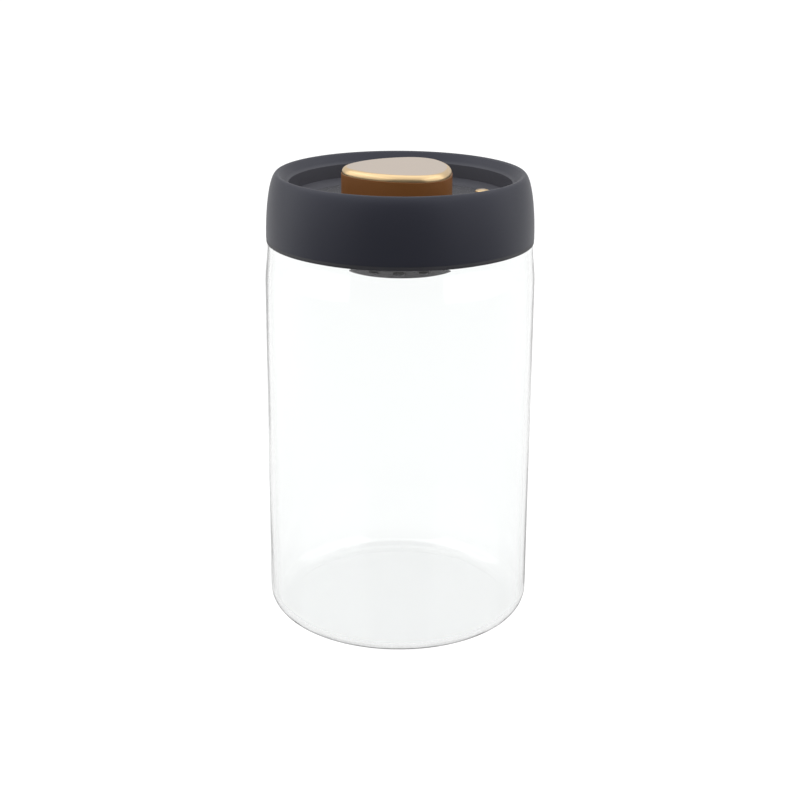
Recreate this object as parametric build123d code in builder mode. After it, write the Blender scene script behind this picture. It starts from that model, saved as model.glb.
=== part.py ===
import os
from math import cos, pi, sin

from build123d import *

# A glass canister for dry food with a push-button vacuum pump built into its lid. Millimetres,
# +Z up, origin at the centre of the jar's foot. The lid's plane of symmetry is XZ, and the
# release button is on its +X side.

# Jar: blown borosilicate glass, drawn in a little at the neck, standing on a ring
glass_radius = 55.0
glass_wall = 2.4
glass_height = 160.9
foot_round = 8.8
foot_ring = 4.2
neck_in = 1.2
neck_length = 17.9
rim_round = 0.6
push_up = 0.6

# Lid: an outer shell with a dished top, closed from below by a carrier
lid_inset = 0.7
lid_rise = 25.8
lid_wall = 2.2
lip_share = 0.9144
lip_roll_share = 0.26
lip_roll_drop_share = 0.12
crease_share = 0.829
crease_drop = 3.9
dish_share = 0.8195
dish_depth = 11.4
dish_slope = 2.0
floor_share = 0.731
plate_thickness = 1.6
plate_ledge = 1.5
ledge_thickness = 1.6
seam_clearance = 0.1
carrier_thickness = 2.2
carrier_clearance = 0.25
rib_thickness = 1.2
rib_count = 12
rib_clearance = 2.0

# Seal between the lid and the glass: one silicone ring
flange_thickness = 0.9
flange_inset = 0.4
flange_width = 4.4
bead_inset = 0.5
bead_width = 1.2
bead_height = 1.4
fin_thickness = 1.0
fin_length = 1.6
fin_clearance = 0.5
fin_tip_share = 0.5

# Knob: three rounded corners, a brown skirt and a metal cap with a polished edge
knob_height = 13.8
knob_reach_share = 0.601
knob_flat_share = 0.522
knob_corner_share = 0.34
knob_clearance = 0.5
knob_stroke = 10.5
cap_thickness = 2.6
cap_bevel = 2.3
cap_inset = 0.25
skirt_edge_round = 0.2
skirt_wall = 1.6
skirt_ceiling = 2.0
skirt_length = 15.4

# Pump: a cylinder in the lid, and a hollow plunger that hangs from the knob
housing_inset = 2.36
housing_wall = 1.6
housing_height = 7.7
housing_floor = 1.6
housing_round = 0.8
vent_count = 15
vent_width = 4.2
vent_height = 1.2
vent_rise = 1.7
well_clearance = 0.7
well_wall = 2.0
well_floor = 1.8
skirt_clearance = 0.62
cylinder_wall = 2.0
cylinder_floor = 1.8
cylinder_foot = 2.5
cylinder_flange = 1.8
cylinder_flange_clearance = 0.3
cylinder_clearance = 0.2
sump = 0.5
head_thickness = 3.4
head_clearance = 0.2
plunger_share = 0.645
plunger_wall = 1.8
plunger_web = 1.8
plunger_flange_clearance = 1.12
plunger_flange = 1.6
stop_collar = 0.8
stop_collar_height = 1.1
ring_section = 1.9
ring_side_clearance = 0.1
running_clearance = 0.05
guide_thickness = 1.5
guide_skirt = 4.0
guide_wall = 0.9
guide_clearance = 0.08
exhaust_slot_width = 2.0
exhaust_slot_count = 4
exhaust_slot_share = 0.2
exhaust_port_share = 0.3
exhaust_port_count = 6
flap_thickness = 0.7
flap_inset = 1.1
intake_port_radius = 0.9
intake_port_count = 4
intake_port_share = 0.64
umbrella_share = 0.3226
umbrella_thickness = 0.9
umbrella_edge = 0.3
umbrella_stem_radius = 1.2
umbrella_barb = 0.7
umbrella_barb_height = 1.0
filter_clearance = 0.4

# Release valve: a small domed button that pushes a silicone disc off its seat
release_share = 0.58
release_travel = 2.0
button_radius = 3.1
button_height = 4.2
button_dome = 0.4
button_round = 0.8
button_clearance = 0.25
button_flange = 0.5
button_flange_thickness = 1.2
button_socket_depth = 2.6
stem_radius = 1.5
stem_rib = 0.9
stem_head_radius = 2.6
stem_head_thickness = 1.2
stem_neck = 0.3
stem_guide_wall = 1.0
stem_guide_height = 3.0
disc_radius = 4.6
disc_thickness = 1.8
disc_lip = 0.6

# Springs: round wire, tight at the ends and open between them
knob_wire = 0.8
knob_coil_clearance = 1.2
knob_turns = 6
release_wire = 0.45
release_coil_clearance = 0.4
release_turns = 4
end_gap = 0.5

# Screws: pan heads with a cross recess, four sizes of the same kind
screw_clearance = 0.2
screw_slot_share = 0.3
screw_depth_share = 0.4
boss_wall = 1.6
pilot_spare = 0.3
thread_clearance = 0.05
carrier_screw_radius = 1.2
carrier_screw_head_radius = 2.3
carrier_screw_head_height = 1.0
carrier_screw_length = 9.0
carrier_screw_inset = 8.3
carrier_screw_count = 6
cylinder_screw_radius = 0.9
cylinder_screw_head_radius = 1.8
cylinder_screw_head_height = 1.1
cylinder_screw_length = 3.0
cylinder_screw_inset = 2.2
cylinder_screw_count = 4
housing_screw_radius = 1.0
housing_screw_head_radius = 1.9
housing_screw_head_height = 1.0
housing_screw_length = 3.2
housing_screw_inset = 5.5
housing_screw_count = 3
housing_pillar_radius = 2.5
knob_screw_radius = 1.0
knob_screw_head_radius = 1.8
knob_screw_head_height = 1.0
knob_screw_length = 4.2
knob_screw_count = 3

# Posts that carry the top plate
post_radius = 2.6
post_count = 3
peg_radius = 1.2
peg_length = 3.0

# Radii that follow, from the jar inwards
push_up_radius = glass_radius - foot_round - foot_ring
rim_radius = glass_radius - neck_in
rim_bore = rim_radius - glass_wall
flange_outer_radius = rim_radius - flange_inset
flange_inner_radius = flange_outer_radius - flange_width
bead_inner_radius = flange_inner_radius + bead_inset
lid_radius = glass_radius - lid_inset
lip_radius = lid_radius * lip_share
crease_radius = lid_radius * crease_share
dish_radius = lid_radius * dish_share
floor_radius = lid_radius * floor_share
ledge_radius = floor_radius - plate_ledge
shell_inner_radius = lid_radius - lid_wall
carrier_radius = shell_inner_radius - carrier_clearance
carrier_screw_circle = lid_radius - carrier_screw_inset
knob_reach = floor_radius * knob_reach_share
knob_flat = floor_radius * knob_flat_share
knob_corner_radius = floor_radius * knob_corner_share
well_radius = knob_reach + well_clearance
well_outer_radius = well_radius + well_wall
post_circle = (well_outer_radius + floor_radius) / 2
release_place = well_outer_radius + (ledge_radius - well_outer_radius) * release_share
housing_radius = well_outer_radius - housing_inset
housing_inner_radius = housing_radius - housing_wall
cylinder_flange_radius = housing_inner_radius - cylinder_flange_clearance
cylinder_screw_circle = cylinder_flange_radius - cylinder_screw_inset
guide_outer_radius = knob_flat - skirt_wall - skirt_clearance
guide_skirt_radius = guide_outer_radius - guide_wall
cylinder_outer_radius = guide_skirt_radius - seam_clearance
housing_screw_circle = cylinder_outer_radius - housing_screw_inset
bore_radius = cylinder_outer_radius - cylinder_wall
plunger_radius = bore_radius * plunger_share
plunger_bore = plunger_radius - plunger_wall
plunger_flange_radius = knob_flat - skirt_wall - plunger_flange_clearance
knob_screw_circle = (plunger_radius + plunger_flange_radius) / 2
stop_collar_radius = plunger_radius + stop_collar
ring_place = bore_radius - running_clearance - ring_section / 2
groove_radius = ring_place - ring_section / 2 - running_clearance
exhaust_port_circle = (stop_collar_radius + groove_radius) / 2
exhaust_port_radius = (groove_radius - stop_collar_radius) * exhaust_port_share
flap_outer_radius = bore_radius - flap_inset
knob_coil_radius = plunger_bore - knob_coil_clearance - knob_wire / 2
umbrella_radius = bore_radius * umbrella_share
intake_port_circle = umbrella_radius * intake_port_share
button_flange_radius = button_radius + button_flange
stem_guide_radius = stem_radius + guide_clearance
stem_guide_outer_radius = stem_guide_radius + stem_guide_wall
release_coil_radius = stem_guide_outer_radius + release_coil_clearance + release_wire / 2

# Heights that follow, from the jar's rim up and down
lid_edge = glass_height + flange_thickness
lip_height = lid_edge + lid_rise
crease_height = lip_height - crease_drop
floor_height = lip_height - dish_depth
plate_bottom = floor_height - plate_thickness
ledge_bottom = plate_bottom - ledge_thickness
carrier_top = lid_edge + carrier_thickness
knob_top = floor_height + knob_height
skirt_top = knob_top - cap_thickness
ceiling_bottom = skirt_top - skirt_ceiling
skirt_bottom = skirt_top - skirt_length
well_bottom = skirt_bottom - knob_stroke - well_clearance * 3 - well_floor
well_top = well_bottom + well_floor
housing_bottom = well_bottom - housing_height
housing_floor_top = housing_bottom + housing_floor
cylinder_bottom = housing_floor_top + cylinder_foot
cylinder_floor_top = cylinder_bottom + cylinder_floor
flange_bottom = well_bottom - cylinder_flange
head_bottom = cylinder_floor_top + sump + knob_stroke
head_top = head_bottom + head_thickness
guide_bottom = head_top + stop_collar_height
guide_top = guide_bottom + guide_thickness
plunger_top = ceiling_bottom
knob_tip = plunger_top - plunger_flange + knob_screw_head_height + knob_screw_length
web_bottom = plunger_top - plunger_web
button_top = floor_height + button_height
button_flange_bottom = plate_bottom - button_flange_thickness
stem_top = button_flange_bottom + button_socket_depth
disc_bottom = lid_edge - disc_thickness

# Angles
quarter_turn = 90.0
post_turn = 2 * quarter_turn / post_count


def knob_outline(growth, mode=Mode.ADD):
    """Draws the knob's outline, grown all round, in the open sketch: three corner and three side arcs."""
    corner_place = knob_reach - knob_corner_radius
    side_radius = (
        corner_place**2 + knob_flat**2 - corner_place * knob_flat - knob_corner_radius**2
    ) / (2 * knob_flat - 2 * knob_corner_radius - corner_place)
    side_place = side_radius - knob_flat

    def meeting(corner_angle, side_angle):
        """Returns the point where a corner arc runs into a side arc."""
        corner = Vector(cos(corner_angle), sin(corner_angle)) * corner_place
        side = Vector(cos(side_angle), sin(side_angle)) * -side_place
        return side + (corner - side).normalized() * (side_radius + growth)

    with BuildLine() as outline:
        for number in range(3):
            side_angle = 2 * pi * number / 3
            before = side_angle - pi / 3
            after = side_angle + pi / 3
            middle = Vector(cos(side_angle), sin(side_angle)) * (knob_flat + growth)
            tip = Vector(cos(after), sin(after)) * (knob_reach + growth)
            ThreePointArc(meeting(before, side_angle), middle, meeting(after, side_angle))
            ThreePointArc(meeting(after, side_angle), tip, meeting(after, side_angle + 2 * pi / 3))
    make_face(outline.edges(), mode=mode)


def coil(coil_radius, wire, seat, head, turns, place):
    """Sweeps a compression spring in the open part and returns the least gap between its turns."""
    quarters = 4 * turns
    end_pitch = wire + end_gap
    opening = [min(max(min(k, quarters - k) - 3, 0), 2) / 2 for k in range(quarters + 1)]
    opened = sum(opening[k] + opening[k + 1] for k in range(quarters)) / 8
    open_pitch = end_pitch + (head - seat - wire - end_pitch * turns) / opened
    pitches = [end_pitch + share * (open_pitch - end_pitch) for share in opening]
    heights = [seat + wire / 2]
    for k in range(quarters):
        heights.append(heights[k] + (pitches[k] + pitches[k + 1]) / 8)
    points = []
    tangents = []
    for k in range(quarters + 1):
        angle = k * pi / 2
        points.append(Vector(place + coil_radius * cos(angle), coil_radius * sin(angle), heights[k]))
        climb = pitches[k] / (2 * pi)
        tangents.append(
            Vector(-coil_radius * sin(angle), coil_radius * cos(angle), climb).normalized()
        )
    with BuildLine() as path:
        for k in range(quarters):
            chord = points[k + 1] - points[k]
            both = tangents[k] + tangents[k + 1]
            turn = 2 * (1 - tangents[k].dot(tangents[k + 1]))
            reach = chord.dot(both)
            arm = (-reach + (reach**2 + turn * chord.dot(chord)) ** 0.5) / turn
            joint = (points[k] + points[k + 1] + (tangents[k] - tangents[k + 1]) * arm) / 2
            first = TangentArc(points[k], joint, tangent=tangents[k])
            TangentArc(joint, points[k + 1], tangent=first % 1)
    with BuildSketch(Plane(origin=points[0], z_dir=tangents[0])) as section:
        Circle(wire / 2)
    sweep(section.sketch, path=path.wires()[0])
    gaps = [(points[k + 4] - points[k]).length - wire for k in range(quarters - 3)]
    return min(gaps)


def screw(radius, head_radius, head_height, length, seat):
    """Makes one screw in the open part: its head hangs from its seat's height, and its shank runs up."""
    with Locations((0, 0, seat)):
        Cylinder(radius, length, align=(Align.CENTER, Align.CENTER, Align.MIN))
        Cylinder(head_radius, head_height, align=(Align.CENTER, Align.CENTER, Align.MAX))
    long_side = head_radius * 2 * (1 - screw_slot_share)
    short_side = head_radius * screw_slot_share
    with Locations((0, 0, seat - head_height)):
        for slot in ((long_side, short_side), (short_side, long_side)):
            Box(
                *slot,
                head_height * screw_depth_share,
                align=(Align.CENTER, Align.CENTER, Align.MIN),
                mode=Mode.SUBTRACT,
            )


def lid_section(skin, mode=Mode.ADD):
    """Draws half of the lid's section in the open sketch, a skin's depth inside its outer surface."""
    outer = lid_radius - lip_radius - skin
    crest = Vector(lip_radius, lip_height - skin)
    crease = Vector(crease_radius + skin, crease_height - skin / 2)
    fall = crease - crest
    roll = crest + Vector(fall.X * lip_roll_share, fall.Y * lip_roll_drop_share)
    with BuildLine() as outline:
        EllipticalCenterArc((lip_radius, lid_edge), outer, lid_rise - skin, arc_size=quarter_turn)
        lip = TangentArc(crest, roll, tangent=(-1, 0))
        TangentArc(roll, crease, tangent=lip % 1)
        Polyline(
            crease,
            (dish_radius + skin, floor_height + dish_slope - skin / 2),
            (floor_radius + skin, floor_height - skin / 2),
            (floor_radius + skin, lid_edge),
            (lip_radius + outer, lid_edge),
        )
    make_face(outline.edges(), mode=mode)


def square_ring(inner, outer, bottom, top, mode=Mode.ADD):
    """Draws half of a ring's or a disc's square section in the open sketch."""
    with Locations(((inner + outer) / 2, (bottom + top) / 2)):
        Rectangle(outer - inner, top - bottom, mode=mode)


os.makedirs("parts", exist_ok=True)

# The jar: one even wall turned about the axis, drawn in at the neck, with a hollow under the foot
# and a fire-polished rim
neck_bottom = glass_height - neck_length
neck_middle = neck_bottom + (neck_length - rim_round) / 2
with BuildPart() as glass_jar:
    with BuildSketch(Plane.XZ):
        with BuildLine():
            TangentArc((0, push_up), (push_up_radius, 0), tangent=(1, 0))
            Line((push_up_radius, 0), (glass_radius - foot_round, 0))
            TangentArc((glass_radius - foot_round, 0), (glass_radius, foot_round), tangent=(1, 0))
            Line((glass_radius, foot_round), (glass_radius, neck_bottom))
            for side in (0, glass_wall):
                low = (glass_radius - side, neck_bottom)
                middle = (glass_radius - side - neck_in / 2, neck_middle)
                high = (rim_radius - side, glass_height - rim_round)
                lower = TangentArc(low, middle, tangent=(0, 1))
                TangentArc(middle, high, tangent=lower % 1)
            TangentArc(
                (rim_radius, glass_height - rim_round),
                (rim_radius - rim_round, glass_height),
                tangent=(0, 1),
            )
            Line((rim_radius - rim_round, glass_height), (rim_bore + rim_round, glass_height))
            TangentArc(
                (rim_bore + rim_round, glass_height),
                (rim_bore, glass_height - rim_round),
                tangent=(-1, 0),
            )
            Line((glass_radius - glass_wall, neck_bottom), (glass_radius - glass_wall, foot_round))
            TangentArc(
                (glass_radius - glass_wall, foot_round),
                (glass_radius - foot_round, glass_wall),
                tangent=(0, -1),
            )
            Line((glass_radius - foot_round, glass_wall), (push_up_radius, glass_wall))
            TangentArc((0, push_up + glass_wall), (push_up_radius, glass_wall), tangent=(1, 0))
            Line((0, push_up + glass_wall), (0, push_up))
        make_face()
    revolve(axis=Axis.Z)
glass_jar.part.label = "glass_jar"
export_step(glass_jar.part, "parts/glass_jar.step")


# The lid's shell: a thin moulding with a rounded lip and a dished top, bosses for its screws and
# ribs between its walls
with BuildPart() as shell_inside:
    with BuildSketch(Plane.XY.offset(carrier_top)):
        with PolarLocations(carrier_screw_circle, carrier_screw_count):
            Circle(carrier_screw_radius + boss_wall)
    extrude(amount=lid_rise)
    with BuildSketch(Plane.XY.offset(carrier_top + rib_clearance)):
        with PolarLocations((floor_radius + lid_radius) / 2, rib_count):
            Rectangle(lid_radius - floor_radius, rib_thickness)
    extrude(amount=lid_rise)
    with BuildSketch(Plane.XZ):
        lid_section(lid_wall / 2)
    revolve(axis=Axis.Z, mode=Mode.INTERSECT)

with BuildPart() as lid_shell:
    with BuildSketch(Plane.XZ):
        lid_section(0)
        lid_section(lid_wall, mode=Mode.SUBTRACT)
        square_ring(0, floor_radius + lid_wall, lid_edge, ledge_bottom, mode=Mode.SUBTRACT)
        square_ring(ledge_radius, floor_radius + lid_wall, ledge_bottom, plate_bottom)
    revolve(axis=Axis.Z)
    add(shell_inside.part)
    with BuildSketch(Plane.XY.offset(carrier_top)):
        with PolarLocations(carrier_screw_circle, carrier_screw_count):
            Circle(carrier_screw_radius + thread_clearance)
    extrude(
        amount=carrier_screw_length + carrier_screw_head_height + pilot_spare - carrier_thickness,
        mode=Mode.SUBTRACT,
    )
lid_shell.part.label = "lid_shell"
export_step(lid_shell.part, "parts/lid_shell.step")

# The plate on the dish's floor: the knob and the release button come up through it, and three
# pegs under it are pushed into the carrier's posts
with BuildPart() as top_plate:
    with BuildSketch(Plane.XY.offset(plate_bottom)):
        Circle(floor_radius - seam_clearance)
        knob_outline(knob_clearance, mode=Mode.SUBTRACT)
        with Locations((release_place, 0)):
            Circle(button_radius + button_clearance, mode=Mode.SUBTRACT)
    extrude(amount=plate_thickness)
    with BuildSketch(Plane.XY.offset(plate_bottom)):
        with PolarLocations(post_circle, post_count, start_angle=post_turn):
            Circle(peg_radius)
    extrude(amount=-peg_length)
top_plate.part.label = "top_plate"
export_step(top_plate.part, "parts/top_plate.step")

# The carrier closes the lid from below: it holds the seal's bead in a groove, a well for the
# knob's skirt, posts for the top plate and the guide of the release stem
with BuildPart() as lid_carrier:
    with BuildSketch(Plane.XZ):
        square_ring(well_radius, carrier_radius, lid_edge, carrier_top)
        square_ring(
            bead_inner_radius - seam_clearance,
            bead_inner_radius + bead_width + seam_clearance,
            lid_edge,
            lid_edge + bead_height + seam_clearance,
            mode=Mode.SUBTRACT,
        )
        square_ring(well_radius, well_outer_radius, well_bottom, lid_edge)
        square_ring(
            cylinder_outer_radius + cylinder_clearance, well_outer_radius, well_bottom, well_top
        )
    revolve(axis=Axis.Z)
    with BuildSketch(Plane.XY.offset(carrier_top)):
        with PolarLocations(post_circle, post_count, start_angle=post_turn):
            Circle(post_radius)
    extrude(amount=plate_bottom - carrier_top)
    with BuildSketch(Plane.XY.offset(plate_bottom)):
        with PolarLocations(post_circle, post_count, start_angle=post_turn):
            Circle(peg_radius + thread_clearance)
    extrude(amount=-(peg_length + pilot_spare), mode=Mode.SUBTRACT)
    with BuildSketch(Plane.XY.offset(carrier_top)):
        with Locations((release_place, 0)):
            Circle(stem_guide_outer_radius)
    extrude(amount=stem_guide_height)
    with BuildSketch(Plane.XY.offset(lid_edge)):
        with Locations((release_place, 0)):
            Circle(stem_guide_radius)
        with PolarLocations(carrier_screw_circle, carrier_screw_count):
            Circle(carrier_screw_radius + screw_clearance)
    extrude(amount=carrier_thickness + stem_guide_height, mode=Mode.SUBTRACT)
    with BuildSketch(Plane.XY.offset(lid_edge)):
        with PolarLocations(carrier_screw_circle, carrier_screw_count):
            Circle(carrier_screw_head_radius + screw_clearance)
    extrude(amount=carrier_screw_head_height, mode=Mode.SUBTRACT)
    with BuildSketch(Plane.XY.offset(well_bottom)):
        with PolarLocations(cylinder_screw_circle, cylinder_screw_count, start_angle=post_turn / 2):
            Circle(cylinder_screw_radius + thread_clearance)
    extrude(
        amount=cylinder_screw_length + pilot_spare - cylinder_flange, mode=Mode.SUBTRACT
    )
lid_carrier.part.label = "lid_carrier"
export_step(lid_carrier.part, "parts/lid_carrier.step")

# The seal: a flat flange that lies on the glass rim, a bead pushed into the carrier's groove and a
# soft fin that centres the lid in the neck
fin_radius = rim_bore - fin_clearance
with BuildPart() as rim_seal:
    with BuildSketch(Plane.XZ):
        square_ring(flange_inner_radius, flange_outer_radius, glass_height, lid_edge)
        square_ring(bead_inner_radius, bead_inner_radius + bead_width, lid_edge, lid_edge + bead_height)
        with BuildLine():
            Polyline(
                (fin_radius - fin_thickness, glass_height),
                (fin_radius, glass_height),
                (fin_radius, glass_height - fin_length / 2),
                (fin_radius - fin_thickness * fin_tip_share, glass_height - fin_length),
                (fin_radius - fin_thickness, glass_height - fin_length),
                (fin_radius - fin_thickness, glass_height),
            )
        make_face()
    revolve(axis=Axis.Z)
rim_seal.part.label = "rim_seal"
export_step(rim_seal.part, "parts/rim_seal.step")

# The pump's cylinder: a bore with a valve seat in its floor, a flange screwed under the carrier's
# well and three pillars for the housing
with BuildPart() as pump_cylinder:
    with BuildSketch(Plane.XZ):
        square_ring(0, cylinder_outer_radius, cylinder_bottom, cylinder_floor_top)
        square_ring(bore_radius, cylinder_outer_radius, cylinder_bottom, guide_bottom)
        square_ring(bore_radius, cylinder_flange_radius, flange_bottom, well_bottom)
    revolve(axis=Axis.Z)
    with BuildSketch(Plane.XY.offset(cylinder_bottom)):
        with PolarLocations(housing_screw_circle, housing_screw_count):
            Circle(housing_pillar_radius)
    extrude(amount=-cylinder_foot)
    with BuildSketch(Plane.XY.offset(cylinder_bottom)):
        Circle(umbrella_stem_radius + thread_clearance)
        with PolarLocations(intake_port_circle, intake_port_count):
            Circle(intake_port_radius)
    extrude(amount=cylinder_floor, mode=Mode.SUBTRACT)
    with BuildSketch(Plane.XY.offset(housing_floor_top)):
        with PolarLocations(housing_screw_circle, housing_screw_count):
            Circle(housing_screw_radius + thread_clearance)
    extrude(
        amount=housing_screw_length + housing_screw_head_height + pilot_spare - housing_floor,
        mode=Mode.SUBTRACT,
    )
    with BuildSketch(Plane.XY.offset(flange_bottom)):
        with PolarLocations(cylinder_screw_circle, cylinder_screw_count, start_angle=post_turn / 2):
            Circle(cylinder_screw_radius + screw_clearance)
    extrude(amount=cylinder_flange, mode=Mode.SUBTRACT)
pump_cylinder.part.label = "pump_cylinder"
export_step(pump_cylinder.part, "parts/pump_cylinder.step")

# The ring that guides the plunger and stops its way up, pushed over the cylinder's open end
with BuildPart() as plunger_guide:
    with BuildSketch(Plane.XZ):
        square_ring(plunger_radius + guide_clearance, guide_outer_radius, guide_bottom, guide_top)
        square_ring(guide_skirt_radius, guide_outer_radius, guide_top - guide_skirt, guide_bottom)
    revolve(axis=Axis.Z)
    slot_middle = (stop_collar_radius + bore_radius) / 2
    slot_length = (bore_radius - stop_collar_radius) * (1 - exhaust_slot_share)
    with BuildSketch(Plane.XY.offset(guide_bottom)):
        with PolarLocations(slot_middle, exhaust_slot_count):
            SlotOverall(slot_length, exhaust_slot_width)
    extrude(amount=guide_thickness, mode=Mode.SUBTRACT)
plunger_guide.part.label = "plunger_guide"
export_step(plunger_guide.part, "parts/plunger_guide.step")

# The dark cup under the lid: it covers the pump's inlet and has a row of air slots in its wall
with BuildPart() as pump_housing:
    with BuildSketch(Plane.XZ):
        square_ring(0, housing_radius, housing_bottom, well_bottom)
        square_ring(0, housing_inner_radius, housing_floor_top, well_bottom, mode=Mode.SUBTRACT)
    revolve(axis=Axis.Z)
    fillet(pump_housing.faces().sort_by(Axis.Z)[0].edges(), radius=housing_round)
    with BuildSketch(Plane.XY.offset(housing_bottom + vent_rise)):
        with PolarLocations(housing_radius - housing_wall / 2, vent_count):
            Rectangle(housing_wall * 2, vent_width)
    extrude(amount=vent_height, mode=Mode.SUBTRACT)
    with BuildSketch(Plane.XY.offset(housing_bottom)):
        with PolarLocations(housing_screw_circle, housing_screw_count):
            Circle(housing_screw_radius + screw_clearance)
    extrude(amount=housing_floor, mode=Mode.SUBTRACT)
    with BuildSketch(Plane.XY.offset(housing_bottom)):
        with PolarLocations(housing_screw_circle, housing_screw_count):
            Circle(housing_screw_head_radius + screw_clearance)
    extrude(amount=housing_screw_head_height, mode=Mode.SUBTRACT)
pump_housing.part.label = "pump_housing"
export_step(pump_housing.part, "parts/pump_housing.step")

# A ring of open foam behind the air slots keeps coffee dust out of the pump
with BuildPart() as dust_filter:
    with BuildSketch(Plane.XZ):
        square_ring(
            cylinder_outer_radius + filter_clearance,
            housing_inner_radius - filter_clearance,
            housing_floor_top,
            flange_bottom - cylinder_screw_head_height - filter_clearance,
        )
    revolve(axis=Axis.Z)
dust_filter.part.label = "dust_filter"
export_step(dust_filter.part, "parts/dust_filter.step")

# The inlet valve: a silicone umbrella over the ports in the cylinder's floor
with BuildPart() as intake_valve:
    with BuildSketch(Plane.XZ):
        with BuildLine():
            Polyline(
                (0, cylinder_floor_top + umbrella_thickness),
                (umbrella_stem_radius, cylinder_floor_top + umbrella_thickness),
                (umbrella_radius, cylinder_floor_top + umbrella_edge),
                (umbrella_radius, cylinder_floor_top),
                (umbrella_stem_radius, cylinder_floor_top),
                (umbrella_stem_radius, cylinder_bottom),
                (umbrella_stem_radius + umbrella_barb, cylinder_bottom),
                (umbrella_stem_radius, cylinder_bottom - umbrella_barb_height),
                (0, cylinder_bottom - umbrella_barb_height),
                (0, cylinder_floor_top + umbrella_thickness),
            )
        make_face()
    revolve(axis=Axis.Z)
intake_valve.part.label = "intake_valve"
export_step(intake_valve.part, "parts/intake_valve.step")

# The knob's metal cap: a flat plate with a polished round edge
with BuildPart() as knob_cap:
    with BuildSketch(Plane.XY.offset(skirt_top)):
        knob_outline(-cap_inset)
    extrude(amount=cap_thickness)
    fillet(knob_cap.faces().sort_by(Axis.Z)[-1].edges(), radius=cap_bevel)
    with BuildSketch(Plane.XY.offset(skirt_top)):
        with PolarLocations(knob_screw_circle, knob_screw_count):
            Circle(knob_screw_radius + thread_clearance)
    extrude(amount=knob_tip - skirt_top + pilot_spare, mode=Mode.SUBTRACT)
knob_cap.part.label = "knob_cap"
export_step(knob_cap.part, "parts/knob_cap.step")

# The knob's skirt: a three-cornered cup that slides down into the carrier's well
with BuildPart() as knob_skirt:
    with BuildSketch(Plane.XY.offset(skirt_bottom)):
        knob_outline(0)
    extrude(amount=skirt_length)
    fillet(knob_skirt.faces().sort_by(Axis.Z)[-1].edges(), radius=skirt_edge_round)
    with BuildSketch(Plane.XY.offset(skirt_bottom)):
        knob_outline(-skirt_wall)
    extrude(amount=skirt_length - skirt_ceiling, mode=Mode.SUBTRACT)
    with BuildSketch(Plane.XY.offset(ceiling_bottom)):
        with PolarLocations(knob_screw_circle, knob_screw_count):
            Circle(knob_screw_radius + screw_clearance)
    extrude(amount=skirt_ceiling, mode=Mode.SUBTRACT)
knob_skirt.part.label = "knob_skirt"
export_step(knob_skirt.part, "parts/knob_skirt.step")

# The plunger: a hollow tube with a flange screwed under the knob, a collar that meets the guide
# at the top of the stroke and a head with ports and a groove for its ring
groove_height = ring_section + 2 * ring_side_clearance
head_middle = (head_bottom + head_top) / 2
with BuildPart() as plunger:
    with BuildSketch(Plane.XZ):
        square_ring(0, plunger_radius, head_bottom, plunger_top)
        square_ring(0, plunger_flange_radius, plunger_top - plunger_flange, plunger_top)
        square_ring(0, stop_collar_radius, head_top, guide_bottom)
        square_ring(0, bore_radius - head_clearance, head_bottom, head_top)
        square_ring(0, plunger_bore, head_bottom, web_bottom, mode=Mode.SUBTRACT)
        square_ring(
            groove_radius,
            bore_radius,
            head_middle - groove_height / 2,
            head_middle + groove_height / 2,
            mode=Mode.SUBTRACT,
        )
    revolve(axis=Axis.Z)
    with BuildSketch(Plane.XY.offset(head_bottom)):
        with PolarLocations(exhaust_port_circle, exhaust_port_count):
            Circle(exhaust_port_radius)
    extrude(amount=head_thickness, mode=Mode.SUBTRACT)
    with BuildSketch(Plane.XY.offset(plunger_top)):
        with PolarLocations(knob_screw_circle, knob_screw_count):
            Circle(knob_screw_radius + screw_clearance)
    extrude(amount=-plunger_flange, mode=Mode.SUBTRACT)
    with BuildSketch(Plane.XY.offset(plunger_top - plunger_flange)):
        with PolarLocations(knob_screw_circle, knob_screw_count):
            Circle(knob_screw_head_radius + screw_clearance)
    extrude(amount=knob_screw_head_height, mode=Mode.SUBTRACT)
plunger.part.label = "plunger"
export_step(plunger.part, "parts/plunger.step")

# The rubber ring in the groove of the plunger's head
with BuildPart() as plunger_ring:
    with BuildSketch(Plane.XZ):
        with Locations((ring_place, head_middle)):
            Circle(ring_section / 2)
    revolve(axis=Axis.Z)
plunger_ring.part.label = "plunger_ring"
export_step(plunger_ring.part, "parts/plunger_ring.step")

# The outlet valve: a silicone washer that lies over the ports of the plunger's head
with BuildPart() as exhaust_flap:
    with BuildSketch(Plane.XZ):
        square_ring(
            stop_collar_radius + seam_clearance, flap_outer_radius, head_top, head_top + flap_thickness
        )
    revolve(axis=Axis.Z)
exhaust_flap.part.label = "exhaust_flap"
export_step(exhaust_flap.part, "parts/exhaust_flap.step")

# The spring that lifts the knob stands on the cylinder's floor, inside the hollow plunger
with BuildPart() as knob_spring:
    knob_gap = coil(knob_coil_radius, knob_wire, cylinder_floor_top, web_bottom, knob_turns, 0)
knob_spring.part.label = "knob_spring"
export_step(knob_spring.part, "parts/knob_spring.step")

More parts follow.
